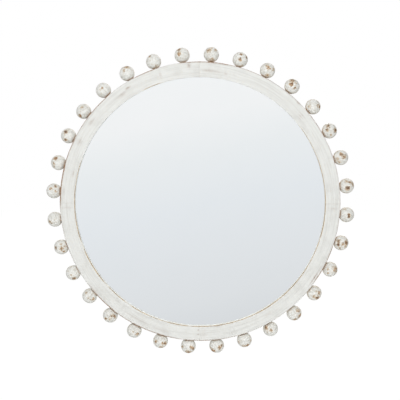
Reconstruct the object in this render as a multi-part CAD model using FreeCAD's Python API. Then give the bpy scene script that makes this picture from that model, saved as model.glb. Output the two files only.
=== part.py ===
"""Round wall mirror in a painted wooden ring, with wooden balls all round its outer edge.

Millimetres. X to the right, Z up, the mirror faces -Y and hangs on a wall at Y = 0.
Everything round the ring is built at twelve o'clock and turned to its clock angle.
"""
import FreeCAD, Part
import math
import os

V = FreeCAD.Vector

# Ring of wood
sight_radius = 326.0
face_width = 40.0
frame_depth = 40.0
front_easing = 2.0
back_easing = 1.0
lip_depth = 9.0
glass_rebate_width = 7.0
board_ledge_width = 11.0

# Joints between the four arcs of the ring
joint_dowel_diameter = 8.0
joint_dowel_length = 40.0
joint_dowel_spacing = 18.0

# Wooden balls
ball_diameter = 40.0
ball_count = 32
first_ball_angle = 4.5
ball_seat_depth = 0.5
ball_dowel_diameter = 6.0
ball_dowel_length = 32.0

# Glass, tape and backing board
glass_thickness = 4.0
glass_edge_chamfer = 0.5
tape_thickness = 1.0
tape_width = 25.0
tape_count = 4
tape_edge_margin = 40.0
board_thickness = 6.0

# Countersunk screws of the backing board
board_screw_count = 12
board_screw_diameter = 3.0
board_screw_head_diameter = 6.0
board_screw_length = 14.0
board_screw_tip = 2.5

# Hangers: a steel strap rolled round the bar of a wire ring
hanger_angle = 62.5
strap_thickness = 1.2
strap_width = 12.0
strap_screw_distance = 27.0
ring_wire_diameter = 3.0
ring_inner_width = 15.0
ring_leg_length = 9.0
ring_corner_radius = 2.5
strap_screw_diameter = 3.5
strap_screw_head_diameter = 7.0
strap_screw_head_height = 2.4
strap_screw_flat_diameter = 3.5
strap_screw_shoulder_diameter = 5.95
strap_screw_shoulder_height = 1.68
strap_screw_length = 16.0
strap_screw_tip = 3.0

# Rubber bumpers that rest on the wall
bumper_height = 7.0
bumper_diameter = 14.0
bumper_easing = 0.8
bumper_angle = 155.0

# Clearances
glass_clearance = 1.0
board_clearance = 1.0
glue_gap = 0.1
dowel_end_gap = 0.5
dowel_chamfer = 0.8
pilot_gap = 0.05
screw_hole_gap = 0.25
eye_running_gap = 0.35

# Places that follow from the sizes above
outer_radius = sight_radius + face_width
glass_rebate_radius = sight_radius + glass_rebate_width
board_rebate_radius = glass_rebate_radius + board_ledge_width
ledge_middle_radius = (glass_rebate_radius + board_rebate_radius) / 2
land_radius = (board_rebate_radius + outer_radius) / 2
frame_back = -bumper_height
frame_front = frame_back - frame_depth
frame_middle = (frame_front + frame_back) / 2
glass_front = frame_front + lip_depth
glass_back = glass_front + glass_thickness
glass_radius = glass_rebate_radius - glass_clearance
board_front = glass_back + tape_thickness
board_back = board_front + board_thickness
ball_radius = ball_diameter / 2
eye_hole_radius = ring_wire_diameter / 2 + eye_running_gap
eye_radius = eye_hole_radius + strap_thickness
pin_line = frame_back + eye_radius

arc_names = [
    "frame_arc_upper_right",
    "frame_arc_lower_right",
    "frame_arc_lower_left",
    "frame_arc_upper_left",
]
arc_angle = 360.0 / len(arc_names)
centre = V(0, 0, 0)
to_wall = V(0, 1, 0)
outward = V(0, 0, 1)
across = V(1, 0, 0)


def at_clock(shape, angle):
    """Turn a shape built at twelve o'clock to a clock angle, clockwise from the front."""
    return shape.rotated(centre, to_wall, angle)


def spread(shape, count, first):
    """Copies of a shape built at twelve o'clock, evenly round the ring."""
    return [at_clock(shape, first + 360.0 / count * place) for place in range(count)]


def turned(outline, base, axis):
    """Solid of revolution from a closed outline of edges."""
    return Part.Face(Part.Wire(Part.__sortEdges__(outline))).revolve(base, axis, 360)


def lines(points):
    """Straight edges through the points, left open at the end."""
    return [Part.makeLine(start, end) for start, end in zip(points, points[1:])]


def quarter_round(start, corner, end):
    """Quarter circle from start to end, in place of the sharp corner between them."""
    turn_centre = start + end - corner
    middle = turn_centre + (corner - turn_centre) * math.sqrt(0.5)
    return Part.Arc(start, middle, end).toShape()


def dowel(diameter, length):
    """Chamfered dowel along Z, centred on the origin."""
    half = length / 2
    radius = diameter / 2
    end_radius = radius - dowel_chamfer
    outline = lines([
        V(0, 0, -half), V(end_radius, 0, -half), V(radius, 0, dowel_chamfer - half),
        V(radius, 0, half - dowel_chamfer), V(end_radius, 0, half), V(0, 0, half), V(0, 0, -half)])
    return turned(outline, centre, outward)


def dowel_hole(diameter, length):
    """Room for a dowel and its glue, along Z and centred on the origin."""
    hole_length = length + 2 * dowel_end_gap
    return Part.makeCylinder(diameter / 2 + glue_gap, hole_length, V(0, 0, -hole_length / 2), outward)


def joint_places(shape):
    """Put a dowel shape along X at both heights of one joint of the ring."""
    lying = shape.rotated(centre, to_wall, 90)
    half = joint_dowel_spacing / 2
    return [lying.translated(V(0, frame_middle + step, land_radius)) for step in (-half, half)]


def all_joints(shape):
    placed = []
    for shape_in_joint in joint_places(shape):
        placed += spread(shape_in_joint, len(arc_names), 0)
    return placed


def ring_section():
    """Section of the ring at twelve o'clock: eased edges, glass rebate and board ledge."""
    inner_face = V(0, frame_front, sight_radius + front_easing)
    outer_face = V(0, frame_front, outer_radius - front_easing)
    outer_wall = V(0, frame_front + front_easing, outer_radius)
    outer_wall_end = V(0, frame_back - back_easing, outer_radius)
    back_face = V(0, frame_back, outer_radius - back_easing)
    inner_wall = V(0, frame_front + front_easing, sight_radius)
    edges = [
        Part.makeLine(inner_face, outer_face),
        quarter_round(outer_face, V(0, frame_front, outer_radius), outer_wall),
        Part.makeLine(outer_wall, outer_wall_end),
        quarter_round(outer_wall_end, V(0, frame_back, outer_radius), back_face)]
    edges += lines([
        back_face, V(0, frame_back, board_rebate_radius), V(0, board_front, board_rebate_radius),
        V(0, board_front, glass_rebate_radius), V(0, glass_front, glass_rebate_radius),
        V(0, glass_front, sight_radius), inner_wall])
    edges.append(quarter_round(inner_wall, V(0, frame_front, sight_radius), inner_face))
    return Part.Face(Part.Wire(edges))


def wooden_ball():
    """Turned ball at twelve o'clock, with its small flat seat and its dowel hole."""
    seat_radius = math.sqrt(ball_radius ** 2 - (ball_radius - ball_seat_depth) ** 2)
    hole_radius = ball_dowel_diameter / 2 + glue_gap
    hole_end = outer_radius + ball_dowel_length / 2 + dowel_end_gap
    ball_centre = outer_radius + ball_radius - ball_seat_depth
    pole = V(0, frame_middle, ball_centre + ball_radius)
    seat_edge = V(seat_radius, frame_middle, outer_radius)
    edges = lines([
        pole, V(0, frame_middle, hole_end), V(hole_radius, frame_middle, hole_end),
        V(hole_radius, frame_middle, outer_radius), seat_edge])
    edges.append(Part.Arc(seat_edge, V(ball_radius, frame_middle, ball_centre), pole).toShape())
    return turned(edges, pole, outward)


def mirror_glass():
    """Disc of glass with its sharp edges taken off."""
    flat_radius = glass_radius - glass_edge_chamfer
    outline = lines([
        V(0, glass_front, 0), V(0, glass_front, flat_radius),
        V(0, glass_front + glass_edge_chamfer, glass_radius),
        V(0, glass_back - glass_edge_chamfer, glass_radius),
        V(0, glass_back, flat_radius), V(0, glass_back, 0), V(0, glass_front, 0)])
    return turned(outline, centre, to_wall)


def tape_strips():
    """Upright strips of foam tape between glass and board, evenly across the glass."""
    strips = []
    pitch = 2 * glass_radius / (tape_count + 1)
    for place in range(tape_count):
        middle = (place - (tape_count - 1) / 2) * pitch
        far_side = abs(middle) + tape_width / 2
        half_length = math.sqrt((glass_radius - tape_edge_margin) ** 2 - far_side ** 2)
        corner = V(middle - tape_width / 2, glass_back, -half_length)
        strips.append(Part.makeBox(tape_width, tape_thickness, 2 * half_length, corner))
    return Part.makeCompound(strips)


def countersunk_screw(gap):
    """Board screw at twelve o'clock, head flush with the board; gap makes its hole instead."""
    shank = board_screw_diameter / 2 + gap
    head = board_screw_head_diameter / 2 + gap
    head_end = board_back - (board_screw_head_diameter - board_screw_diameter) / 2
    tip = board_back - board_screw_length - gap
    here = ledge_middle_radius
    outline = lines([
        V(0, board_back, here), V(0, board_back, here + head), V(0, head_end, here + shank),
        V(0, tip + board_screw_tip, here + shank), V(0, tip, here), V(0, board_back, here)])
    return turned(outline, V(0, 0, here), to_wall)


def board_screw_hole():
    """Loose hole with its countersink, through the backing board only."""
    hole = countersunk_screw(screw_hole_gap)
    through = Part.makeCylinder(
        board_screw_diameter / 2 + screw_hole_gap, board_thickness,
        V(0, board_front, ledge_middle_radius), to_wall)
    return hole.fuse(through)


def backing_board():
    board = Part.makeCylinder(
        board_rebate_radius - board_clearance, board_thickness, V(0, board_front, 0), to_wall)
    return board.cut(spread(board_screw_hole(), board_screw_count, first_board_screw))


def strap_screw(gap):
    """Pan head screw of the right hanger at twelve o'clock; gap makes its pilot hole instead."""
    shank = strap_screw_diameter / 2 + gap
    head = strap_screw_head_diameter / 2
    under_head = frame_back + strap_thickness
    top = under_head + strap_screw_head_height
    flat = strap_screw_flat_diameter / 2
    shoulder = V(0, under_head + strap_screw_shoulder_height, strap_screw_shoulder_diameter / 2)
    tip = under_head - strap_screw_length - gap
    here = V(strap_screw_distance, 0, land_radius)
    outline = [
        Part.makeLine(here + V(0, top, 0), here + V(0, top, flat)),
        Part.Arc(here + V(0, top, flat), here + shoulder, here + V(0, under_head, head)).toShape()]
    outline += lines([
        here + V(0, under_head, head), here + V(0, under_head, shank),
        here + V(0, tip + strap_screw_tip, shank), here + V(0, tip, 0), here + V(0, top, 0)])
    return turned(outline, here, to_wall)


def hanger_strap():
    """Flat strap with a round end and a rolled eye, lying along the ring at twelve o'clock."""
    half = strap_width / 2
    corner = V(0, frame_back, land_radius - half)
    plate = Part.makeBox(strap_screw_distance, strap_thickness, strap_width, corner)
    screw_place = V(strap_screw_distance, frame_back, land_radius)
    round_end = Part.makeCylinder(half, strap_thickness, screw_place, to_wall)
    eye_place = V(0, pin_line, land_radius - half)
    eye = Part.makeCylinder(eye_radius, strap_width, eye_place, outward)
    eye_hole = Part.makeCylinder(eye_hole_radius, strap_width, eye_place, outward)
    screw_hole = Part.makeCylinder(
        strap_screw_diameter / 2 + screw_hole_gap, strap_thickness, screw_place, to_wall)
    return plate.fuse([round_end, eye]).removeSplitter().cut([eye_hole, screw_hole])


def hanger_ring():
    """Wire ring shaped like a D, its bar in the strap's eye, hanging down over the strap."""
    half = (ring_inner_width + ring_wire_diameter) / 2
    bar_half = half - ring_corner_radius

    def spot(along, side):
        return V(along, pin_line, land_radius + side)

    arch_top = spot(ring_leg_length + half, 0)
    path = [
        Part.makeLine(spot(0, 0), spot(0, bar_half)),
        quarter_round(spot(0, bar_half), spot(0, half), spot(ring_corner_radius, half)),
        Part.makeLine(spot(ring_corner_radius, half), spot(ring_leg_length, half)),
        Part.Arc(spot(ring_leg_length, half), arch_top, spot(ring_leg_length, -half)).toShape(),
        Part.makeLine(spot(ring_leg_length, -half), spot(ring_corner_radius, -half)),
        quarter_round(spot(ring_corner_radius, -half), spot(0, -half), spot(0, -bar_half)),
        Part.makeLine(spot(0, -bar_half), spot(0, 0))]
    wire_section = Part.Wire(Part.makeCircle(ring_wire_diameter / 2, spot(0, 0), outward))
    return Part.Wire(path).makePipeShell([wire_section], True, False)


def bumper():
    """Round rubber pad glued to the back of the ring at twelve o'clock."""
    radius = bumper_diameter / 2
    here = V(0, 0, land_radius)
    rim = here + V(0, -bumper_easing, radius)
    flat_edge = here + V(0, 0, radius - bumper_easing)
    outline = lines([
        here, here + V(0, frame_back, 0), here + V(0, frame_back, radius), rim])
    outline.append(quarter_round(rim, here + V(0, 0, radius), flat_edge))
    outline.append(Part.makeLine(flat_edge, here))
    return turned(outline, here, to_wall)


def mirrored(shape):
    """The same shape on the left of the mirror."""
    return shape.mirror(centre, across)


# Holes in the ring
first_board_screw = 180.0 / board_screw_count
ball_dowel_place = V(0, frame_middle, outer_radius)
ball_hole = dowel_hole(ball_dowel_diameter, ball_dowel_length).translated(ball_dowel_place)
right_pilot = at_clock(strap_screw(pilot_gap), hanger_angle)
ring_holes = spread(ball_hole, ball_count, first_ball_angle)
ring_holes += all_joints(dowel_hole(joint_dowel_diameter, joint_dowel_length))
ring_holes += spread(countersunk_screw(pilot_gap), board_screw_count, first_board_screw)
ring_holes += [right_pilot, mirrored(right_pilot)]

# Solids of every node
nodes = {}
section = ring_section()
for place, name in enumerate(arc_names):
    arc = at_clock(section.revolve(centre, to_wall, arc_angle), arc_angle * place)
    nodes[name] = arc.cut(ring_holes)
joint_dowel = dowel(joint_dowel_diameter, joint_dowel_length)
nodes["arc_joint_dowels"] = Part.makeCompound(all_joints(joint_dowel))

for place, ball in enumerate(spread(wooden_ball(), ball_count, first_ball_angle)):
    nodes["ball_%02d" % (place + 1)] = ball
ball_dowel = dowel(ball_dowel_diameter, ball_dowel_length).translated(ball_dowel_place)
nodes["ball_dowels"] = Part.makeCompound(spread(ball_dowel, ball_count, first_ball_angle))

nodes["mirror_glass"] = mirror_glass()
nodes["tape_strips"] = tape_strips()
nodes["backing_board"] = backing_board()
board_screws = spread(countersunk_screw(0), board_screw_count, first_board_screw)
nodes["board_screws"] = Part.makeCompound(board_screws)

right_strap = at_clock(hanger_strap(), hanger_angle)
right_ring = at_clock(hanger_ring(), hanger_angle)
right_screw = at_clock(strap_screw(0), hanger_angle)
right_bumper = at_clock(bumper(), bumper_angle)
nodes["right_hanger_strap"] = right_strap
nodes["left_hanger_strap"] = mirrored(right_strap)
nodes["right_hanger_ring"] = right_ring
nodes["left_hanger_ring"] = mirrored(right_ring)
nodes["hanger_screws"] = Part.makeCompound([right_screw, mirrored(right_screw)])
nodes["right_bumper"] = right_bumper
nodes["left_bumper"] = mirrored(right_bumper)

os.makedirs("parts", exist_ok=True)
for name, shape in nodes.items():
    shape.exportStep("parts/%s.step" % name)
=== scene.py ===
"""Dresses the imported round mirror: rubbed white ring, turned balls, glass, back and hangers."""

import math
import random

import bmesh
import bpy
from bpy.props import FloatProperty, FloatVectorProperty, IntProperty, PointerProperty
from mathutils import Matrix, Vector, noise


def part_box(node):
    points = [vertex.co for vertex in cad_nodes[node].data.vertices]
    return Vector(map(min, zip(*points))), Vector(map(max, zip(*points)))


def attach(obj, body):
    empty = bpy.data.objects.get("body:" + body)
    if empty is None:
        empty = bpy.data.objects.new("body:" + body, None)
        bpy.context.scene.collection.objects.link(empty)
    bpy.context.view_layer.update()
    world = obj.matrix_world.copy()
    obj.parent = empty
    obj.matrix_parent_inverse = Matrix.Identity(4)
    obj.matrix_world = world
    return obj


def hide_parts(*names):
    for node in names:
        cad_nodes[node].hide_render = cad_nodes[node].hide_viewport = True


bl_info = {
    "name": "Round mirror with balls",
    "version": (1, 0, 0),
    "blender": (4, 5, 0),
    "location": "View3D > Sidebar > Mirror",
    "description": "Models and paints the ring, balls, glass, back and hangers of a round wall mirror",
    "category": "Object",
}

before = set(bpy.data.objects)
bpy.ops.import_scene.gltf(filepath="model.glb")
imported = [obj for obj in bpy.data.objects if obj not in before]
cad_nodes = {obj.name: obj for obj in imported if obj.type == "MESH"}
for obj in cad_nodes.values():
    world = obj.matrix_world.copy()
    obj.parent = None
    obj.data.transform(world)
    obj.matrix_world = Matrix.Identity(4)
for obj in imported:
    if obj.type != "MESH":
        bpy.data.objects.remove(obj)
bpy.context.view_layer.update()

MILLIMETRE = 0.001
QUARTER = math.pi / 2
ARC_NAMES = ("upper_right", "lower_right", "lower_left", "upper_left")
SIDES = ("right", "left")
WHITE = (1, 1, 1, 1)
MERGE_DISTANCE = 1e-6
SAME_PLACE = 1e-5
NODE_SPACING = 180


def reach(node):
    """Smallest and largest distance of a CAD node from the mirror's axis."""
    distances = [math.hypot(v.co.x, v.co.z) for v in cad_nodes[node].data.vertices]
    return min(distances), max(distances)


def srgb(red, green, blue):
    """A colour written in the usual 0 to 255 steps, as the linear values that Blender keeps."""
    def linear(step):
        share = step / 255
        return share / 12.92 if share <= 0.04045 else ((share + 0.055) / 1.055) ** 2.4
    return (linear(red), linear(green), linear(blue), 1.0)


def length(name, description, default):
    """A size in metres that a user may change."""
    return FloatProperty(name=name, description=description, default=default, unit="LENGTH", precision=5)


def colour(name, description, red, green, blue):
    """A colour that a user may change."""
    return FloatVectorProperty(name=name, description=description, size=4, min=0, max=1,
                               subtype="COLOR", default=srgb(red, green, blue))


def level(name, description, default):
    """A plain number that a user may change."""
    return FloatProperty(name=name, description=description, default=default)


def power(name, description, default):
    """The strength of a lamp, in watts."""
    return FloatProperty(name=name, description=description, default=default, subtype="POWER")


def count(name, description, default, least):
    """A whole number that a user may change."""
    return IntProperty(name=name, description=description, default=default, min=least)


def spot(name, description, default):
    """A place that a user may change."""
    return FloatVectorProperty(name=name, description=description, default=default, subtype="XYZ")


ring_low, ring_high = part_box("frame_arc_upper_right")
ring_inside, ring_outside = reach("frame_arc_upper_right")
glass_low, glass_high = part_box("mirror_glass")
board_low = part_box("backing_board")[0]
ball_low, ball_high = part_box("ball_01")
ball_radius = (ball_high.y - ball_low.y) / 2
ball_outside = reach("ball_01")[1]
BALL_COUNT = sum(name.startswith("ball_") and name != "ball_dowels" for name in cad_nodes)
BALL_PITCH = 360 / BALL_COUNT
FIRST_BALL = math.degrees(math.atan2(ball_low.x + ball_high.x, ball_low.z + ball_high.z))
screw_inside, screw_outside = reach("board_screws")
rebate_clearance = 1 * MILLIMETRE


class RingSettings(bpy.types.PropertyGroup):
    """Sizes of the painted ring"""
    sight_radius: length("Sight radius", "Radius of the opening in front of the glass", ring_inside)
    outer_radius: length("Outer radius", "Radius of the ring without its balls", ring_outside)
    glass_rebate: length("Glass rebate", "Radius of the ledge that takes the glass",
                         reach("mirror_glass")[1] + rebate_clearance)
    board_rebate: length("Board rebate", "Radius of the ledge that takes the board",
                         reach("backing_board")[1] + rebate_clearance)
    front: length("Front", "Depth position of the ring's face", ring_low.y)
    lip_back: length("Lip back", "Depth position of the glass's face", glass_low.y)
    ledge: length("Board ledge", "Depth position of the board's face", board_low.y)
    back: length("Back", "Depth position of the ring's back", ring_high.y)
    inner_easing: length("Inner easing", "Radius of the edge round the opening", 0.5 * MILLIMETRE)
    front_easing: length("Outer easing", "Radius of the edge beside the balls", 2 * MILLIMETRE)
    back_easing: length("Back easing", "Radius of the back edges", 1 * MILLIMETRE)
    joint_chamfer: length("Joint chamfer", "Bevel of the four joints", 0.25 * MILLIMETRE)
    steps: count("Steps", "Slices in each quarter", 180, least=30)
    wave: length("Wave", "How far the hand-planed surface dips", 0.5 * MILLIMETRE)
    paint_depth: length("Paint depth", "How far a rubbed place is sunk", 0.3 * MILLIMETRE)


class BallSettings(bpy.types.PropertyGroup):
    """Sizes of the turned balls"""
    radius: length("Radius", "Radius of a ball, within its CAD ball", ball_radius - 0.1 * MILLIMETRE)
    circle: length("Circle", "Radius of the circle of the balls' middles", ball_outside - ball_radius)
    depth: length("Depth", "Depth position of the balls' middles", (ball_high.y + ball_low.y) / 2)
    wave: length("Wave", "How far a ball is out of round", 0.5 * MILLIMETRE)
    chip_depth: length("Chip depth", "How far a chip is sunk", 0.45 * MILLIMETRE)
    seed: count("Seed", "Start of the random chips", 11, least=0)


class PaintSettings(bpy.types.PropertyGroup):
    """Colours of the paint, of the wood under it, and of painted light and shade"""
    ring_paint: colour("Ring paint", "Chalky white on the ring", 235, 236, 233)
    # painted light: a whiter paint for the wall of the opening, which lies in shade
    ring_painted_light: colour("Ring, painted light", "White wall of the opening", 252, 252, 249)
    ring_shade: colour("Ring shade", "Greyer brush strokes", 218, 218, 214)
    ring_thin: colour("Ring, thin paint", "Warm tint where the ring's paint is thin", 233, 222, 198)
    ring_worn: colour("Ring, worn wood", "Wood in the ring's rubbed places", 209, 182, 140)
    ring_dirt: colour("Ring, dirt", "Dark lines in the ring's rubbed places", 130, 104, 78)
    # also the colour of the painted shade beside the balls
    ring_grime: colour("Ring, grime and painted shade", "Grey-brown smudges and painted shade on the ring", 142, 104, 70)
    ball_paint: colour("Ball paint", "White on the balls", 248, 249, 246)
    ball_shade: colour("Ball shade", "Greyer patches on the balls", 209, 208, 200)
    # also the colour of the painted shade on the balls' rims and on the balls at the right
    ball_thin: colour("Ball, thin paint", "Warm tint where the balls' paint is thin, and painted shade on their rims", 212, 197, 172)
    ball_worn: colour("Ball, worn wood", "Wood in the balls' chips", 198, 159, 120)
    ball_dirt: colour("Ball, dirt", "Dirt in the balls' chips", 121, 98, 81)
    # also the colour of the painted shade where the balls meet the ring
    ball_grime: colour("Ball, stain and painted shade", "Stain and painted shade where the balls meet the ring", 176, 130, 88)
    raw_wood: colour("Raw wood", "Unpainted back", 190, 152, 108)
    raw_grain: colour("Raw grain", "Grain of the unpainted back", 146, 106, 68)


class BackSettings(bpy.types.PropertyGroup):
    """Colours and sizes of the glass, the back and its fittings"""
    silver: colour("Silver", "Tint of the mirror", 247, 250, 251)
    backing_paint: colour("Mirror back", "Paint behind the silver", 112, 118, 124)
    board: colour("Board", "Fibreboard", 146, 110, 76)
    fibre: colour("Fibre", "Dark fibres in the board", 104, 74, 48)
    steel: colour("Steel", "Plated steel of the hangers", 196, 194, 188)
    tarnish: colour("Tarnish", "Dull patches on the steel", 142, 134, 120)
    rubber: colour("Rubber", "Bumpers", 42, 41, 40)
    dust: colour("Dust", "Dust on the rubber and the board", 178, 168, 152)
    foam: colour("Foam", "Tape behind the glass", 206, 203, 194)
    screw_circle: length("Screw circle", "Radius of the circle of the board's screws",
                         (screw_inside + screw_outside) / 2)
    screw_head: length("Screw head", "Radius of a board screw's head",
                       (screw_outside - screw_inside) / 2)
    screw_shank: length("Screw shank", "Radius of a screw's shank", 1.5 * MILLIMETRE)
    screw_count: count("Screws", "Number of board screws", 12, least=3)


class StageSettings(bpy.types.PropertyGroup):
    """Light, floor and camera"""
    floor_drop: length("Floor", "Height of the floor under the mirror's middle", -1.6)
    floor: colour("Floor colour", "Pale floor", 240, 240, 238)
    ambient: level("Ambient", "Strength of the even light", 0.365)
    thrown: level("Thrown light", "Lamp light that the mirror throws on the ring's wall", 0.55)
    key_power: power("Key", "Soft lamp at the upper left", 16)
    front_power: power("Front", "Soft lamp in front", 53.2)
    low_power: power("Low", "Soft lamp below", 7)
    behind_power: power("Behind", "Soft lamp behind", 60)
    lens: FloatProperty(name="Lens", description="Focal length", default=76.88, unit="CAMERA")
    camera: spot("Camera", "Place of the camera", (0.0699, -2.2585, 0.2303))
    aim: spot("Aim", "Point that the camera looks at", (0.0015, -0.047, 0.0091))


# Modelling by hand


def deselect():
    bpy.ops.object.select_all(action="DESELECT")


def edit(piece):
    bpy.context.view_layer.objects.active = piece
    bpy.ops.object.mode_set(mode="EDIT")


def leave_edit():
    bpy.ops.object.mode_set(mode="OBJECT")


def only(piece):
    """Leaves just this piece selected and active."""
    deselect()
    piece.select_set(True)
    bpy.context.view_layer.objects.active = piece


def pick(kind, test):
    """Selects the vertices, edges or faces of the edited mesh that pass the test."""
    mode = {"verts": "VERT", "edges": "EDGE", "faces": "FACE"}[kind]
    bpy.ops.mesh.select_mode(type=mode)
    bpy.ops.mesh.select_all(action="DESELECT")
    mesh = bpy.context.edit_object.data
    shape = bmesh.from_edit_mesh(mesh)
    for part in getattr(shape, kind):
        if test(part):
            part.select_set(True)
    shape.select_flush_mode()
    bmesh.update_edit_mesh(mesh)


def pick_all():
    """Selects the whole edited mesh."""
    bpy.ops.mesh.select_all(action="SELECT")


def pick_corners(*corners):
    """Selects the vertices of a drawn outline that lie at these corners."""
    pick("verts", lambda v: any((v.co - corner).length < SAME_PLACE for corner in corners))


def close_up():
    """Merges doubles and turns every face outwards, in edit mode."""
    pick_all()
    bpy.ops.mesh.remove_doubles(threshold=MERGE_DISTANCE)
    bpy.ops.mesh.normals_make_consistent(inside=False)


def outline(name, points, closed=True):
    """An outline drawn vertex by vertex, left in edit mode."""
    deselect()
    bpy.ops.mesh.primitive_plane_add(size=MILLIMETRE)
    piece = bpy.context.object
    piece.name = name
    edit(piece)
    bpy.ops.mesh.select_mode(type="VERT")
    pick_all()
    bpy.ops.mesh.merge(type="CENTER")
    bpy.ops.transform.translate(value=points[0])
    for start, end in zip(points, points[1:]):
        bpy.ops.mesh.extrude_vertices_move(TRANSFORM_OT_translate={"value": end - start})
    if closed:
        pick_corners(points[0], points[-1])
        bpy.ops.mesh.edge_face_add()
    return piece


def copied(piece, name, turn, shift=(0, 0, 0)):
    """A copy with its own mesh, turned clockwise as seen from the front and then moved, in the mesh."""
    copy = piece.copy()
    copy.data = piece.data.copy()
    copy.name = name
    copy.data.name = name
    bpy.context.scene.collection.objects.link(copy)
    copy.data.transform(Matrix.Translation(shift) @ Matrix.Rotation(turn, 4, "Y"))
    return copy


def joined(name, pieces):
    """Several pieces made one."""
    only(pieces[0])
    for piece in pieces[1:]:
        piece.select_set(True)
    bpy.ops.object.join()
    pieces[0].name = name
    pieces[0].data.name = name
    return pieces[0]


def discard(piece):
    bpy.data.objects.remove(piece)


def apply(piece, kind, **values):
    """Adds a modifier and applies it."""
    only(piece)
    modifier = piece.modifiers.new(kind.title(), kind)
    for name, value in values.items():
        setattr(modifier, name, value)
    bpy.ops.object.modifier_apply(modifier=modifier.name)


def clouds(name, size, depth):
    """Soft noise for the displace modifier."""
    texture = bpy.data.textures.get(name) or bpy.data.textures.new(name, "CLOUDS")
    texture.noise_scale = size
    texture.noise_depth = depth
    return texture


def weigh(piece, name, values):
    """A vertex group that a modifier reads."""
    group = piece.vertex_groups.new(name=name)
    for index, value in enumerate(values):
        group.add([index], value, "REPLACE")


def note(piece, name, values):
    """A number on every vertex that the material reads."""
    layer = piece.data.attributes.new(name, "FLOAT", "POINT")
    layer.data.foreach_set("value", values)


def note_vectors(piece, name, vectors):
    """A vector on every vertex that the material reads."""
    layer = piece.data.attributes.new(name, "FLOAT_VECTOR", "POINT")
    layer.data.foreach_set("vector", [number for vector in vectors for number in vector])


def smooth(piece, degrees):
    only(piece)
    bpy.ops.object.shade_smooth_by_angle(angle=math.radians(degrees))


def dress(piece, material):
    piece.data.materials.clear()
    piece.data.materials.append(material)


def place(piece, body, slot, *nodes):
    """Hangs a finished piece under its body's empty and hides the CAD nodes that it replaces."""
    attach(piece, body)
    if nodes:
        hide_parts(*nodes)


def ease(value, start, end):
    """0 before start, 1 after end, smooth between them."""
    share = min(max((value - start) / (end - start), 0), 1)
    return share * share * (3 - 2 * share)


def bump(value, middle, width):
    """1 at the middle and falling off to 0 on both sides."""
    return math.exp(-((value - middle) / width) ** 2)


def clock_of(point):
    """Degrees clockwise from the top, seen from the front."""
    return math.degrees(math.atan2(point.x, point.z)) % 360


def at_clock(radius, depth, degrees):
    turn = math.radians(degrees)
    return Vector((radius * math.sin(turn), depth, radius * math.cos(turn)))


# Materials


SILVER_HAZE = (0.88, 0.92, 0.93, 1)


class Nodes:
    """Short calls for building a node tree."""

    def __init__(self, tree):
        self.tree = tree
        self.column = 0

    def add(self, kind, inputs=None, **settings):
        node = self.tree.nodes.new(kind)
        node.location = (self.column, 0)
        self.column += NODE_SPACING
        for name, value in settings.items():
            setattr(node, name, value)
        self.feed(node, inputs or {})
        return node

    def feed(self, node, inputs):
        """Links the named inputs of a node, or sets them."""
        for name, value in inputs.items():
            if isinstance(value, bpy.types.NodeSocket):
                self.tree.links.new(value, node.inputs[name])
            else:
                node.inputs[name].default_value = value

    def maths(self, operation, *values, clamp=False):
        inputs = dict(enumerate(values))
        return self.add("ShaderNodeMath", inputs, operation=operation, use_clamp=clamp).outputs[0]

    def times(self, value, factor):
        return self.maths("MULTIPLY", value, factor)

    def scaled(self, value, factor, start):
        return self.maths("MULTIPLY_ADD", value, factor, start)

    def noise(self, vector, scale, detail=3.0, roughness=0.55):
        inputs = {"Vector": vector, "Scale": scale, "Detail": detail, "Roughness": roughness}
        return self.add("ShaderNodeTexNoise", inputs).outputs["Fac"]

    def streaks(self, vector, scales, detail, roughness):
        """Noise drawn out along the axis with the smallest scale."""
        drawn = self.add("ShaderNodeMapping", {"Vector": vector, "Scale": scales})
        return self.noise(drawn.outputs["Vector"], 1.0, detail, roughness)

    def spread(self, value, start, end, low=0.0, high=1.0):
        """Low before start, high after end, smooth between them."""
        inputs = {"Value": value, "From Min": start, "From Max": end, "To Min": low, "To Max": high}
        return self.add("ShaderNodeMapRange", inputs, interpolation_type="SMOOTHSTEP").outputs["Result"]

    def mixed(self, share, first, second):
        """A mix of two colours."""
        return self.add("ShaderNodeMix", {0: share, 6: first, 7: second}, data_type="RGBA").outputs[2]

    def mixed_shaders(self, share, first, second):
        return self.add("ShaderNodeMixShader", {0: share, 1: first, 2: second}).outputs["Shader"]

    def relief(self, height, depth):
        """A bump for a shader's Normal, as deep as given in metres."""
        inputs = {"Height": height, "Distance": depth, "Strength": 1.0}
        return self.add("ShaderNodeBump", inputs).outputs["Normal"]

    def attribute(self, name, output):
        return self.add("ShaderNodeAttribute", attribute_name=name).outputs[output]

    def here(self):
        return self.add("ShaderNodeTexCoord").outputs["Object"]

    def group(self, name, inputs):
        return self.add("ShaderNodeGroup", inputs, node_tree=bpy.data.node_groups[name]).outputs

    def dull_patches(self, patch, scuff):
        return self.group("Dull patches", {"Vector": self.here(), "Patch": patch, "Scuff": scuff})


SOCKETS = {"value": "NodeSocketFloat", "colour": "NodeSocketColor", "vector": "NodeSocketVector"}


def new_group(name, inputs, outputs):
    """An empty node group with named sockets: its tools, its input sockets and its output node."""
    tree = bpy.data.node_groups.new(name, "ShaderNodeTree")
    for socket, kind in inputs.items():
        tree.interface.new_socket(name=socket, in_out="INPUT", socket_type=SOCKETS[kind])
    for socket, kind in outputs.items():
        tree.interface.new_socket(name=socket, in_out="OUTPUT", socket_type=SOCKETS[kind])
    nodes = Nodes(tree)
    given = nodes.add("NodeGroupInput").outputs
    return nodes, given, nodes.add("NodeGroupOutput")


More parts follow.
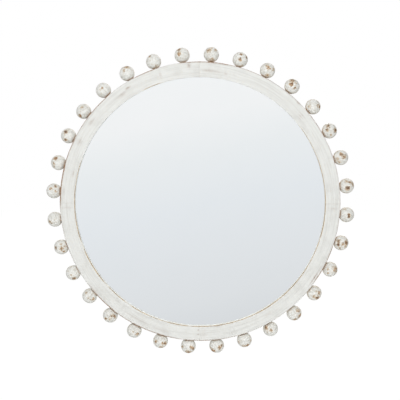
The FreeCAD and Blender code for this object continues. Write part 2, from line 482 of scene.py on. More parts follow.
def wood_grain_group():
    """Long streaks and short pores along the first axis of the vector."""
    nodes, given, result = new_group(
        "Wood grain", {"Vector": "vector", "Pale": "colour", "Dark": "colour"},
        {"Color": "colour", "Height": "value"})
    streak = nodes.spread(nodes.streaks(given["Vector"], (9, 170, 170), 5.0, 0.6), 0.36, 0.66)
    pore = nodes.spread(nodes.streaks(given["Vector"], (70, 1300, 1300), 2.0, 0.5), 0.56, 0.72)
    toned = nodes.mixed(streak, given["Pale"], given["Dark"])
    nodes.feed(result, {"Color": nodes.mixed(nodes.times(pore, 0.55), toned, given["Dark"]),
                        "Height": nodes.maths("SUBTRACT", 1.0, pore)})


def brushed_paint_group():
    """Brush strokes along the first axis of the vector, with cloudy patches."""
    nodes, given, result = new_group(
        "Brushed paint", {"Vector": "vector", "Patch": "value", "Paint": "colour", "Shade": "colour"},
        {"Color": "colour", "Height": "value"})
    fine = nodes.streaks(given["Vector"], (22, 620, 620), 4.0, 0.6)
    broad = nodes.streaks(given["Vector"], (8, 210, 210), 2.0, 0.5)
    cloudy = nodes.spread(nodes.noise(given["Vector"], given["Patch"]), 0.45, 0.75, 0.0, 0.45)
    strokes = nodes.maths("ADD", nodes.spread(fine, 0.42, 0.7, 0.0, 0.5),
                          nodes.spread(broad, 0.4, 0.7, 0.0, 0.5))
    grey = nodes.maths("ADD", strokes, cloudy, clamp=True)
    nodes.feed(result, {"Color": nodes.mixed(grey, given["Paint"], given["Shade"]), "Height": fine})


def rubbed_through_group():
    """Breaks soft rub and grime values up into thin paint, bare wood, and smudges and painted shade,
    with ragged edges; on the balls the rub also holds painted shade.
    """
    nodes, given, result = new_group(
        "Rubbed through",
        {"Vector": "vector", "Rub": "value", "Grime": "value", "Ragged": "value", "Specks": "value",
         "Paint": "colour", "Thin": "colour", "Wood": "colour", "Dirt": "colour", "Smudge": "colour"},
        {"Color": "colour", "Bare": "value"})
    here = given["Vector"]
    coarse = nodes.noise(here, 260.0, 4.0, 0.65)
    fine = nodes.noise(here, 1100.0, 2.0, 0.5)
    ragged = nodes.maths("ADD", nodes.scaled(coarse, 1.1, -0.55), nodes.scaled(fine, 0.5, -0.25))
    rough_rub = nodes.scaled(ragged, given["Ragged"], given["Rub"])
    soft_rub = nodes.scaled(ragged, 0.5, given["Rub"])
    fleck = nodes.spread(nodes.noise(here, 430.0, 2.0, 0.5), 0.62, 0.72)
    scuff = nodes.spread(nodes.noise(here, 210.0), 0.52, 0.7)
    thin = nodes.maths("MAXIMUM", nodes.spread(soft_rub, 0.14, 0.5), nodes.times(given["Specks"], scuff))
    open_wood = nodes.spread(rough_rub, 0.42, 0.66)
    bare = nodes.maths("MAXIMUM", open_wood, nodes.times(given["Specks"], fleck))
    wood = nodes.mixed(nodes.spread(rough_rub, 0.7, 1.15), given["Wood"], given["Dirt"])
    painted = nodes.mixed(nodes.times(thin, 0.75), given["Paint"], given["Thin"])
    broken = nodes.spread(coarse, 0.3, 0.62, 0.4, 1.3)
    grime = nodes.maths("MULTIPLY", given["Grime"], broken, clamp=True)
    nodes.feed(result, {"Color": nodes.mixed(grime, nodes.mixed(bare, painted, wood), given["Smudge"]),
                        "Bare": bare})


def dull_patches_group():
    """Soft patches and fine scuffs that change the gloss."""
    nodes, given, result = new_group(
        "Dull patches", {"Vector": "vector", "Patch": "value", "Scuff": "value"},
        {"Patches": "value", "Scuffs": "value"})
    patches = nodes.noise(given["Vector"], given["Patch"], 4.0, 0.6)
    scuffs = nodes.noise(given["Vector"], given["Scuff"], 2.0, 0.5)
    nodes.feed(result, {"Patches": nodes.spread(patches, 0.42, 0.68),
                        "Scuffs": nodes.spread(scuffs, 0.45, 0.7)})


def new_material(name):
    """An empty material with its Principled shader."""
    material = bpy.data.materials.new(name)
    material.use_nodes = True
    tree = material.node_tree
    tree.nodes.clear()
    nodes = Nodes(tree)
    shader = nodes.add("ShaderNodeBsdfPrincipled")
    nodes.add("ShaderNodeOutputMaterial", {"Surface": shader.outputs["BSDF"]})
    return material, nodes, shader


def painted_wood(name, part, settings, patch, ragged_edge, specks):
    """Brushed paint over wood; attributes say where the paint is rubbed, where dirt and painted shade
    lie, where painted light whitens the paint, and where the wood is bare.
    """
    material, nodes, shader = new_material(name)
    kinds = ("paint", "shade", "thin", "worn", "dirt", "grime")
    paint, shade, thin, wood, dirt, grime = (getattr(settings, f"{part}_{kind}") for kind in kinds)
    here = nodes.here()
    grain = nodes.attribute("grain", "Vector")
    stroke = nodes.attribute("stroke", "Vector")
    brushed = nodes.group("Brushed paint", {
        "Vector": stroke, "Patch": patch, "Paint": paint, "Shade": shade})
    # painted light: the wall of the opening, which lies in shade, gets the whiter paint
    coat_and_painted_light = nodes.mixed(nodes.attribute("clean", "Fac"), brushed["Color"], settings.ring_painted_light)
    worn = nodes.group("Wood grain", {"Vector": grain, "Pale": wood, "Dark": dirt})
    rubbed = nodes.group("Rubbed through", {
        "Vector": here, "Rub": nodes.attribute("rub", "Fac"), "Grime": nodes.attribute("grime", "Fac"),
        "Ragged": ragged_edge, "Specks": specks, "Paint": coat_and_painted_light, "Thin": thin,
        "Wood": worn["Color"], "Dirt": dirt, "Smudge": grime})
    raw = nodes.group("Wood grain", {
        "Vector": grain, "Pale": settings.raw_wood, "Dark": settings.raw_grain})
    ragged = nodes.scaled(nodes.noise(here, 120.0, 4.0, 0.6), 0.7, -0.35)
    unpainted = nodes.spread(nodes.maths("ADD", nodes.attribute("bare", "Fac"), ragged), 0.44, 0.56)
    open_wood = nodes.maths("MAXIMUM", rubbed["Bare"], unpainted)
    paint_relief = nodes.times(brushed["Height"], nodes.maths("SUBTRACT", 1.0, open_wood))
    wood_relief = nodes.times(worn["Height"], nodes.times(open_wood, 0.6))
    nodes.feed(shader, {
        "Base Color": nodes.mixed(unpainted, rubbed["Color"], raw["Color"]),
        "Roughness": nodes.spread(open_wood, 0.0, 1.0, 0.66, 0.84),
        "Specular IOR Level": 0.35,
        "Normal": nodes.relief(nodes.maths("ADD", paint_relief, wood_relief), 0.08 * MILLIMETRE)})
    return material


def dowel_wood(settings):
    """Bare beech."""
    material, nodes, shader = new_material("Beech dowel")
    grain = nodes.group("Wood grain", {
        "Vector": nodes.here(), "Pale": settings.raw_wood, "Dark": settings.raw_grain})
    nodes.feed(shader, {"Base Color": grain["Color"], "Roughness": 0.7,
                        "Normal": nodes.relief(grain["Height"], 0.1 * MILLIMETRE)})
    return material


def silvered_glass(settings):
    """A mirror in front, grey paint behind the silver."""
    material, nodes, shader = new_material("Silvered glass")
    depth = nodes.add("ShaderNodeSeparateXYZ", {"Vector": nodes.here()}).outputs["Y"]
    behind = nodes.spread(depth, (glass_low.y + glass_high.y) / 2, glass_high.y - 0.1 * MILLIMETRE)
    dull = nodes.dull_patches(9.0, 160.0)
    tinted = nodes.mixed(nodes.times(dull["Patches"], 0.12), settings.silver, SILVER_HAZE)
    haze = nodes.scaled(dull["Patches"], 0.012, 0.006)
    nodes.feed(shader, {
        "Base Color": nodes.mixed(behind, tinted, settings.backing_paint),
        "Metallic": 1.0,
        "Roughness": nodes.scaled(behind, 0.5, haze)})
    return material


def fibreboard(settings):
    """Pressed brown board with short fibres and a little dust."""
    material, nodes, shader = new_material("Fibreboard")
    here = nodes.here()
    along = nodes.streaks(here, (240, 900, 1500), 3.0, 0.6)
    across = nodes.streaks(here, (1500, 900, 240), 3.0, 0.6)
    fibres = nodes.spread(nodes.maths("MAXIMUM", along, across), 0.52, 0.74)
    dull = nodes.dull_patches(7.0, 60.0)
    brown = nodes.mixed(nodes.times(fibres, 0.75), settings.board, settings.fibre)
    clouded = nodes.mixed(nodes.times(dull["Scuffs"], 0.22), brown, settings.fibre)
    nodes.feed(shader, {
        "Base Color": nodes.mixed(nodes.times(dull["Patches"], 0.18), clouded, settings.dust),
        "Roughness": nodes.spread(dull["Patches"], 0.0, 1.0, 0.62, 0.8),
        "Normal": nodes.relief(nodes.maths("SUBTRACT", 1.0, fibres), 0.12 * MILLIMETRE)})
    return material


def plated_steel(name, settings):
    """Bright plating with dull patches and fine scratches."""
    material, nodes, shader = new_material(name)
    dull = nodes.dull_patches(150.0, 2600.0)
    shine = nodes.scaled(dull["Patches"], 0.2, 0.24)
    nodes.feed(shader, {
        "Base Color": nodes.mixed(nodes.times(dull["Patches"], 0.6), settings.steel, settings.tarnish),
        "Metallic": 1.0,
        "Roughness": nodes.scaled(dull["Scuffs"], 0.08, shine),
        "Normal": nodes.relief(dull["Scuffs"], 0.03 * MILLIMETRE)})
    return material


def bumper_rubber(settings):
    """Black rubber with dusty patches."""
    material, nodes, shader = new_material("Bumper rubber")
    dull = nodes.dull_patches(240.0, 1800.0)
    nodes.feed(shader, {
        "Base Color": nodes.mixed(nodes.times(dull["Patches"], 0.22), settings.rubber, settings.dust),
        "Roughness": nodes.spread(dull["Scuffs"], 0.0, 1.0, 0.62, 0.78),
        "Normal": nodes.relief(dull["Scuffs"], 0.05 * MILLIMETRE)})
    return material


def foam_tape(settings):
    """Pale foam with open cells."""
    material, nodes, shader = new_material("Foam tape")
    pits = nodes.spread(nodes.noise(nodes.here(), 1400.0, 2.0, 0.5), 0.5, 0.66)
    nodes.feed(shader, {
        "Base Color": nodes.mixed(nodes.times(pits, 0.35), settings.foam, settings.dust),
        "Roughness": 0.85,
        "Normal": nodes.relief(nodes.maths("SUBTRACT", 1.0, pits), 0.2 * MILLIMETRE)})
    return material


# Smudges on the ring, and at 229.5 degrees painted shade where a ball meets it. Each one: degrees
# clockwise from the top, place across the face from the opening (0) to the balls (1), length and
# width in millimetres, and strength.
RING_SMUDGES_AND_SHADE = (
    (3.9, 0.44, 30, 7, 0.26),
    (7.8, 0.40, 22, 2.5, 0.30),
    (11.4, 0.38, 8, 9, 0.20),
    (44.4, 0.93, 12, 4, 0.50),
    (49.0, 0.60, 15, 2, 0.34),
    (49.0, 0.46, 15, 2, 0.40),
    (49.2, 0.33, 13, 2, 0.30),
    (92.0, 0.50, 5, 24, 0.14),
    (122.4, 0.94, 36, 2.6, 0.75),
    (122.9, 0.80, 32, 2.2, 0.80),
    (148.0, 0.45, 26, 6, 0.14),
    (171.5, 0.06, 26, 3, 0.40),
    (178.2, 0.50, 16, 30, 0.10),
    (180.6, 0.26, 3.5, 3, 0.60),
    (180.6, 0.56, 3.5, 3, 0.55),
    (196.0, 0.66, 36, 7, 0.16),
    (208.8, 0.58, 60, 5, 0.16),
    # painted shade where a ball meets the ring
    (229.5, 0.95, 44, 8, 0.34),
    (268.0, 0.55, 5, 26, 0.16),
    (275.0, 0.75, 20, 6, 0.18),
    (283.2, 0.30, 12, 4, 0.34),
    (297.3, 0.60, 18, 12, 0.18),
    (306.9, 0.61, 17, 7, 0.32),
    (324.6, 0.46, 22, 9, 0.24),
    (328.2, 0.63, 14, 4.5, 0.55),
    (343.2, 0.50, 5, 16, 0.22),
    (355.7, 0.80, 8, 14, 0.42),
)

# Rubbed lengths of the edge round the opening, and lengths of the edge beside the balls with dirt
# and painted shade from the balls: clock position, half length (degrees), strength and width (mm).
OPENING_RUBS = (
    (60, 13, 0.82, 1.5),
    (76, 14, 1.04, 1.7),
    (90, 12, 1.18, 1.8),
    (101, 9, 1.34, 1.9),
    (113, 11, 1.06, 1.6),
    (125, 10, 1.18, 1.7),
    (134, 11, 1.28, 1.9),
    (147, 11, 1.38, 1.9),
    (158, 9, 1.12, 1.7),
    (168, 9, 1.24, 1.8),
    (179, 9, 1.14, 1.7),
    (190, 9, 1.22, 1.8),
    (201, 8, 0.96, 1.5),
    (209, 8, 1.04, 1.9),
    (222, 9, 1.04, 1.7),
    (239, 16, 0.80, 2.8),
    (260, 13, 1.08, 2.0),
    (272, 10, 1.12, 1.8),
    (283, 11, 0.92, 1.6),
    (338, 7, 0.90, 1.7),
)
RIM_GRIME_AND_SHADE = (
    (4, 15, 1.06, 2.3),
    (24, 12, 0.50, 1.7),
    (40, 10, 0.45, 1.7),
    (56, 10, 0.70, 1.8),
    (72, 12, 0.50, 1.7),
    (94, 14, 0.45, 1.7),
    (115, 13, 0.95, 2.1),
    (168, 14, 0.60, 1.8),
    (180, 9, 0.95, 1.9),
    (200, 18, 1.10, 2.1),
    (212, 8, 0.95, 2.0),
    (224, 9, 1.20, 2.5),
    (250, 20, 0.35, 1.6),
    (278, 14, 1.50, 2.8),
    (292, 11, 1.00, 2.1),
    (304, 8, 0.65, 1.8),
    (314, 8, 1.05, 2.0),
    (337, 7, 1.05, 2.0),
)

# Other marks of the ring: the share of a rub that reaches the opening's wall, the painted shade beside
# each ball, the dirt in the joints, the face's depth for smudges, and the bare part of the back.
WALL_RUB = 0.2
BALL_CONTACT_SHADE = 0.25
BALL_CONTACT_SHADE_DEGREES = 1.6
JOINT_GRIME = 0.07
FACE_DEPTH = 2 * MILLIMETRE
BARE_BACK = 4 * MILLIMETRE


def edge_mark(clock, marks, least, narrowest):
    """Strength and width of the strongest of the marks at a clock position."""
    strength = least
    width = narrowest
    for mark_clock, half_length, mark_strength, mark_width in marks:
        share = ease(half_length - abs(math.remainder(clock - mark_clock, 360)), 0, 0.6 * half_length)
        strength = max(strength, mark_strength * share)
        width = max(width, mark_width * share)
    return strength, width * MILLIMETRE


def ring_rub(point, ring):
    """How far the paint is rubbed away at a point of the ring, from 0 to about 1."""
    across = math.hypot(point.x, point.z) - ring.sight_radius
    depth = point.y - ring.front
    gone, wide = edge_mark(clock_of(point), OPENING_RUBS, least=0.04, narrowest=1.2)
    on_wall = across < MILLIMETRE and depth > MILLIMETRE
    return gone * max(bump(math.hypot(across, depth), 0, wide), WALL_RUB if on_wall else 0)


def ring_painted_light(point, ring):
    """Painted light: 1 on the wall of the opening, which lies in shade, 0 on the rest of the ring."""
    across = math.hypot(point.x, point.z) - ring.sight_radius
    depth = point.y - ring.front
    return ease(depth - across, 0, 2 * ring.inner_easing) if across < MILLIMETRE else 0


def ring_grime(point, ring):
    """How much dirt and painted shade lie on a point of the ring, from 0 to about 1."""
    radius = math.hypot(point.x, point.z)
    clock = clock_of(point)
    depth = point.y - ring.front
    outside = math.hypot(ring.outer_radius - radius, max(depth - ring.front_easing, 0))
    # dirt and painted shade along the outer edge beside the balls
    dark, wide = edge_mark(clock, RIM_GRIME_AND_SHADE, least=0.12, narrowest=1.5)
    # painted shade: darker at the outer edge beside each ball, where the balls meet the ring
    dark += BALL_CONTACT_SHADE * bump(math.remainder(clock - FIRST_BALL, BALL_PITCH), 0, BALL_CONTACT_SHADE_DEGREES)
    grime = dark * bump(outside, 0, wide)
    if depth > FACE_DEPTH:
        return grime
    joint = math.radians(math.remainder(clock, 90)) * radius
    grime = max(grime, JOINT_GRIME * bump(joint, 0, MILLIMETRE))
    face = ring.outer_radius - ring.sight_radius
    across = radius - ring.sight_radius
    for mark_clock, mark_across, mark_length, mark_width, strength in RING_SMUDGES_AND_SHADE:
        round_ring = math.radians(math.remainder(clock - mark_clock, 360)) * radius
        along = round_ring / (mark_length / 2 * MILLIMETRE)
        aside = (across - mark_across * face) / (mark_width / 2 * MILLIMETRE)
        grime = max(grime, strength * bump(math.hypot(along, aside), 0, 1))
    return grime


def ring_unpainted(point, ring):
    """1 on the back and in the rebates, where the wood was never painted."""
    radius = math.hypot(point.x, point.z)
    back = ease(point.y, ring.back - BARE_BACK, ring.back)
    rebate = ease(point.y, ring.lip_back, ring.lip_back + MILLIMETRE)
    return max(back, rebate if radius < ring.board_rebate + MILLIMETRE else 0)


class MIRROR_OT_ring(bpy.types.Operator):
    """Model the four painted arcs of the ring"""
    bl_idname = "mirror.ring"
    bl_label = "Ring"

    def execute(self, context):
        ring = context.scene.mirror_ring
        section = self.draw_section(ring)
        self.sweep(section, ring)
        paint = context.scene.mirror_paint
        finish = painted_wood("Rubbed ring paint", "ring", paint,
                              patch=34.0, ragged_edge=0.4, specks=0.2)
        for index, name in enumerate(ARC_NAMES):
            arc = copied(section, f"painted_arc_{name}", index * QUARTER)
            self.weather(arc, index, ring)
            smooth(arc, 40)
            dress(arc, finish)
            place(arc, "mirror", "painted_ring", f"frame_arc_{name}")
        discard(section)
        return {"FINISHED"}

    def draw_section(self, ring):
        """The ring's stepped section, at twelve o'clock."""
        steps = ((ring.front, ring.sight_radius), (ring.front, ring.outer_radius),
                 (ring.back, ring.outer_radius), (ring.back, ring.board_rebate),
                 (ring.ledge, ring.board_rebate), (ring.ledge, ring.glass_rebate),
                 (ring.lip_back, ring.glass_rebate), (ring.lip_back, ring.sight_radius))
        corners = [Vector((0, depth, radius)) for depth, radius in steps]
        piece = outline("ring_section", corners)
        eased = ((corners[:1], ring.inner_easing, 5), (corners[1:2], ring.front_easing, 6),
                 (corners[2:4], ring.back_easing, 3))
        for places, easing, segments in eased:
            pick_corners(*places)
            bpy.ops.mesh.bevel(affect="VERTICES", offset=easing, offset_type="OFFSET", segments=segments)
        for longest, cuts in ((30, 26), (15, 9), (8, 5)):
            pick("edges", lambda e: e.calc_length() > longest * MILLIMETRE)
            bpy.ops.mesh.subdivide(number_cuts=cuts)
        return piece

    def sweep(self, piece, ring):
        """Spins the section through a quarter turn and closes its ends with a fine chamfer."""
        pick_all()
        bpy.ops.mesh.spin(steps=ring.steps, angle=QUARTER, center=(0, 0, 0), axis=(0, 1, 0))
        pick_all()
        bpy.ops.mesh.remove_doubles(threshold=MERGE_DISTANCE)
        pick_all()
        bpy.ops.mesh.fill_holes(sides=0)
        close_up()
        pick("faces", lambda f: len(f.verts) > 4)
        bpy.ops.mesh.region_to_loop()
        bpy.ops.mesh.bevel(affect="EDGES", offset=ring.joint_chamfer, segments=1)
        close_up()
        leave_edit()
        middle = sum((v.co for v in piece.data.vertices), Vector()) / len(piece.data.vertices)
        if middle.x < 0:
            piece.data.transform(Matrix.Rotation(QUARTER, 4, "Y"))

    def weather(self, arc, index, ring):
        """Wears the arc: marks, directions of grain and brush, and waves that fade at the joints."""
        points = [v.co.copy() for v in arc.data.vertices]
        rubs = [ring_rub(point, ring) for point in points]
        note(arc, "rub", rubs)
        # The whiter paint of the opening's wall is painted light; the dirt marks include painted shade
        # beside the balls.
        for name, measure in (("clean", ring_painted_light), ("grime", ring_grime), ("bare", ring_unpainted)):
            note(arc, name, [measure(point, ring) for point in points])
        middle = 45 + 90 * index
        chord = at_clock(1, 0, middle + 90)
        outward = at_clock(1, 0, middle)
        note_vectors(arc, "grain", [(p.dot(chord) + index, p.dot(outward), p.y) for p in points])
        turns = [middle + math.remainder(clock_of(p) - middle, 360) for p in points]
        note_vectors(arc, "stroke", [(math.radians(turn) * ring.outer_radius, math.hypot(p.x, p.z), p.y)
                                     for turn, p in zip(turns, points)])
        calm_degrees = 0.5
        from_joint = [abs(math.remainder(clock_of(p), 90)) for p in points]
        weigh(arc, "waves", [min(distance / calm_degrees, 1) for distance in from_joint])
        weigh(arc, "rubs", [ease(rub, 0.35, 0.8) for rub in rubs])
        apply(arc, "DISPLACE", texture=clouds("hand planing", 0.045, 2), texture_coords="LOCAL",
              strength=ring.wave, mid_level=1.0, vertex_group="waves")
        apply(arc, "DISPLACE", strength=-ring.paint_depth, mid_level=0.0, vertex_group="rubs")


# The main chips of each ball, clockwise from the top. Each one: how far right and up of the ball's
# middle the camera sees it, and its size, in hundredths of a ball's radius, and its strength.
FAINT = 0.48
WORN = 0.68
DARK = 0.95
BALL_CHIPS = (
    ((-35, 55, 30, WORN), (55, 60, 18, WORN), (10, -70, 38, FAINT), (5, 85, 14, FAINT)),
    ((0, 0, 15, DARK), (15, 72, 20, WORN), (86, 30, 18, DARK), (20, -80, 24, FAINT)),
    ((15, 35, 24, WORN), (-10, 68, 22, FAINT), (80, 15, 16, WORN), (0, -60, 26, WORN)),
    ((0, 78, 34, WORN), (-10, 30, 20, DARK), (38, -20, 16, WORN), (50, 45, 14, FAINT)),
    ((60, 15, 16, FAINT), (86, 5, 18, DARK), (-50, 10, 18, FAINT)),
    ((-15, 65, 22, WORN), (-30, 15, 20, WORN), (82, 10, 22, DARK), (25, -55, 16, FAINT)),
    ((10, 42, 22, WORN), (50, 12, 23, WORN), (-40, -25, 20, FAINT), (-20, -60, 16, FAINT)),
    ((20, -30, 24, DARK), (45, 45, 17, WORN), (84, 25, 20, WORN), (0, 60, 20, FAINT)),
    ((35, 5, 12, DARK), (35, -30, 12, DARK), (-20, 75, 14, FAINT)),
    ((-30, 20, 20, WORN), (-35, -25, 19, WORN), (30, -20, 17, WORN), (75, 0, 24, DARK),
     (-10, -70, 16, FAINT), (60, -50, 17, WORN)),
    ((70, 10, 36, FAINT), (-25, -5, 12, FAINT), (-25, -50, 14, FAINT), (82, -30, 14, WORN)),
    ((-4, -48, 19, WORN), (48, -64, 22, DARK), (70, 0, 20, WORN), (30, 20, 16, FAINT)),
    ((55, 35, 22, WORN), (80, -35, 22, DARK), (20, -90, 26, WORN)),
    ((-60, 10, 28, WORN), (10, -25, 17, WORN), (-45, -40, 14, FAINT)),
    ((45, -76, 20, DARK), (-10, -85, 30, FAINT), (-75, -30, 24, FAINT), (85, -10, 18, FAINT)),
    ((-50, -72, 26, DARK), (42, -32, 26, WORN), (70, 0, 18, WORN), (-85, -30, 18, FAINT)),
    ((-80, -15, 17, WORN), (40, -22, 22, WORN), (65, -40, 17, DARK), (0, -88, 36, WORN)),
    ((-65, -15, 22, WORN), (30, -42, 20, WORN), (62, -38, 18, DARK), (10, -88, 26, WORN)),
    ((45, -50, 20, WORN), (-20, -20, 16, FAINT)),
    ((25, -10, 23, WORN), (60, -22, 21, WORN), (-65, -45, 17, DARK), (-10, -50, 20, FAINT)),
    ((-50, 40, 20, FAINT), (-20, -30, 15, FAINT), (50, -45, 20, WORN), (10, -55, 14, FAINT)),
    ((10, -75, 20, DARK), (-30, -30, 14, FAINT)),
    ((0, -22, 24, WORN), (-5, 35, 17, FAINT), (35, -60, 20, WORN), (-80, -10, 16, DARK),
     (40, 10, 13, FAINT)),
    ((-75, -30, 18, WORN), (-50, -50, 16, WORN), (-10, -5, 11, FAINT)),
    ((20, 60, 20, WORN), (-45, 30, 16, WORN), (20, -5, 15, WORN)),
    ((-40, 60, 22, DARK), (-65, -10, 22, FAINT), (-60, -50, 17, FAINT)),
    ((-35, 55, 24, DARK), (-40, -55, 18, DARK), (-50, 10, 14, FAINT)),
    ((-50, -60, 20, DARK), (-20, 60, 22, FAINT)),
    ((-20, 30, 14, WORN), (-50, 10, 13, FAINT)),
    ((0, 88, 32, WORN), (-40, 40, 17, WORN), (-60, 68, 14, FAINT)),
    ((-55, 65, 16, WORN), (-50, 20, 14, FAINT), (40, -55, 20, FAINT)),
    ((-45, 75, 20, DARK), (-45, 25, 24, WORN), (-40, 0, 14, FAINT)),
)

# Other marks of the balls: how far a chip's angle goes beyond its size, painted shade on the rims as
# thin-paint tint, more painted shade as tint and rub for the balls on the right, the stain and painted
# shade by the ring, and how far a ball sits in it.
CHIP_REACH = 1.42
RIM_PAINTED_SHADE = 0.26
RIGHT_PAINTED_SHADE = 0.07
RIGHT_PAINTED_SHADE_RUB = 0.08
SEAT_STAIN_AND_SHADE = 0.72
SEAT_INSET = 0.3 * MILLIMETRE


class MIRROR_OT_balls(bpy.types.Operator):
    """Model the turned balls with their chips"""
    bl_idname = "mirror.balls"
    bl_label = "Balls"

    def execute(self, context):
        balls = context.scene.mirror_balls
        ring = context.scene.mirror_ring
        paint = context.scene.mirror_paint
        finish = painted_wood("Chipped ball paint", "ball", paint,
                              patch=170.0, ragged_edge=1.9, specks=0.5)
        blank = self.turn_blank(balls, ring)
        chance = random.Random(balls.seed)
        for index in range(BALL_COUNT):
            clock = FIRST_BALL + index * BALL_PITCH
            ball = copied(blank, f"painted_ball_{index + 1:02d}", math.radians(clock))
            middle = at_clock(balls.circle, balls.depth, clock)
            chips = self.seen_chips(index, middle, context.scene.mirror_stage)
            chips += self.other_chips(chance)
            self.weather(ball, middle, chips, balls, chance)
            smooth(ball, 60)
            dress(ball, finish)
            place(ball, "mirror", "painted_balls", f"ball_{index + 1:02d}")
        discard(blank)
        return {"FINISHED"}

    def turn_blank(self, balls, ring):
        """One ball at twelve o'clock, cut flat where it sits on the ring."""
        deselect()
        bpy.ops.mesh.primitive_ico_sphere_add(subdivisions=5, radius=balls.radius)
        piece = bpy.context.object
        edit(piece)
        pick_all()
        bpy.ops.transform.translate(value=(0, balls.depth, balls.circle))
        seat = (0, balls.depth, ring.outer_radius - SEAT_INSET)
        bpy.ops.mesh.bisect(plane_co=seat, plane_no=(0, 0, 1), use_fill=True, clear_inner=True,
                            threshold=MERGE_DISTANCE)
        close_up()
        leave_edit()
        return piece

    def seen_chips(self, index, middle, stage):
        """The chips that the camera sees: direction from the ball's middle, angle and strength."""
        forward = (Vector(stage.camera) - middle).normalized()
        right = Vector((0, 0, 1)).cross(forward).normalized()
        above = forward.cross(right)
        found = []
        for *hundredths, strength in BALL_CHIPS[index % len(BALL_CHIPS)]:
            aside, up, size = (number / 100 for number in hundredths)
            near = math.sqrt(max(1 - aside * aside - up * up, 0))
            found.append((right * aside + above * up + forward * near, CHIP_REACH * size, strength))
        return found

    def other_chips(self, chance):
        """Chips on the sides and the back of a ball."""
        patches = [(chance.uniform(0.2, 0.4), chance.uniform(FAINT, WORN))
                   for _ in range(chance.randint(3, 5))]
        flecks = [(chance.uniform(0.08, 0.14), chance.uniform(WORN, DARK))
                  for _ in range(chance.randint(3, 6))]
        found = []
        for size, strength in patches + flecks:
            way = Vector((chance.gauss(0, 1), abs(chance.gauss(0.3, 1)), chance.gauss(0, 1)))
            found.append((way.normalized(), size, strength))
        return found

    def weather(self, ball, middle, chips, balls, chance):
        """Chips and dents one ball, paints shade on its rims and more on the balls at the right, and
        stains it and paints shade on it where it meets the ring.
        """
        inward = -Vector((middle.x, 0, middle.z)).normalized()
        # painted shade: 0 to 1 as a ball lies further right, where the balls are darker
        right_shade_share = ease(middle.x / balls.circle, 0.3, 1)
        spin = Matrix.Rotation(chance.uniform(0, math.tau), 3, "Z")
        tip = Matrix.Rotation(chance.uniform(0, 3), 3, "X")
        turn = spin @ tip
        points = [v.co.copy() for v in ball.data.vertices]
        rubs = []
        stains_and_shade = []
        for point in points:
            way = (point - middle).normalized()
            broad = 0.12 * noise.noise(way * 4 + middle * 90)
            ragged = broad + 0.08 * noise.noise(way * 11 + middle * 70)
            worn = [strength * bump(way.angle(chip) + ragged, 0, size) for chip, size, strength in chips]
            # painted shade: warm thin-paint tint on each ball's rim, which faces away from the front,
            # stronger on the balls at the right; those balls also get more rub
            tint = (RIM_PAINTED_SHADE + RIGHT_PAINTED_SHADE * right_shade_share) * ease(-way.y, 0.8, 0.3)
            rubs.append(max(max(worn) + RIGHT_PAINTED_SHADE_RUB * right_shade_share, tint))
            # stain and painted shade where the ball meets the ring
            stains_and_shade.append(SEAT_STAIN_AND_SHADE * ease(way.dot(inward), 0.7, 0.93))
        note(ball, "rub", rubs)
        note(ball, "grime", stains_and_shade)
        note(ball, "bare", [0.0] * len(points))
        local = [turn @ (point - middle) + middle for point in points]
        note_vectors(ball, "grain", local)
        note_vectors(ball, "stroke", local)
        weigh(ball, "chips", [ease(rub, 0.4, 0.75) for rub in rubs])
        apply(ball, "DISPLACE", texture=clouds("turned by hand", 0.018, 1), texture_coords="LOCAL",
              strength=balls.wave, mid_level=1.0)
        apply(ball, "DISPLACE", strength=-balls.chip_depth, mid_level=0.0, vertex_group="chips")


class MIRROR_OT_glass(bpy.types.Operator):
    """Finish the silvered glass"""
    bl_idname = "mirror.glass"
    bl_label = "Glass"

    def execute(self, context):
        dress(cad_nodes["mirror_glass"], silvered_glass(context.scene.mirror_back))
        return {"FINISHED"}


class MIRROR_OT_back(bpy.types.Operator):
    """Finish the board, the tape and the hidden dowels"""
    bl_idname = "mirror.back"
    bl_label = "Back"

    def execute(self, context):
        back = context.scene.mirror_back
        dress(cad_nodes["backing_board"], fibreboard(back))
        dress(cad_nodes["tape_strips"], foam_tape(back))
        beech = dowel_wood(context.scene.mirror_paint)
        for name in ("arc_joint_dowels", "ball_dowels"):
            dress(cad_nodes[name], beech)
        return {"FINISHED"}


# Length, depth and width of a bar of the cross recess, and what is left of them at its bottom.
RECESS_BAR = (3.6 * MILLIMETRE, 3 * MILLIMETRE, 0.9 * MILLIMETRE)
RECESS_TAPER = (0.45, 1, 0.6)


def cross_recess(top):
    """The cutter for a cross recess, narrower at its bottom."""
    bars = []
    for turn in (0, QUARTER):
        deselect()
        bpy.ops.mesh.primitive_cube_add(size=1)
        bar = bpy.context.object
        edit(bar)
        pick_all()
        bpy.ops.transform.resize(value=RECESS_BAR)
        pick("faces", lambda f: f.normal.y < -0.9)
        bpy.ops.transform.resize(value=RECESS_TAPER)
        leave_edit()
        bars.append(copied(bar, "recess_bar", turn, (0, top, 0)))
        discard(bar)
    return bars


def turned_screw(name, corners, easing=0):
    """A screw turned from its outline, with a cross recess in its head, and the rim eased when an easing
    is given.
    """
    points = [Vector((0, depth, radius)) for radius, depth in corners]
    piece = outline(name, points, closed=False)
    if easing:
        pick_corners(points[1])
        bpy.ops.mesh.bevel(affect="VERTICES", offset=easing, offset_type="OFFSET", segments=5)
    pick_all()
    bpy.ops.mesh.spin(steps=36, angle=math.tau, center=(0, 0, 0), axis=(0, 1, 0))
    close_up()
    leave_edit()
    for bar in cross_recess(corners[0][1]):
        apply(piece, "BOOLEAN", object=bar, operation="DIFFERENCE", solver="EXACT")
        discard(bar)
    return piece


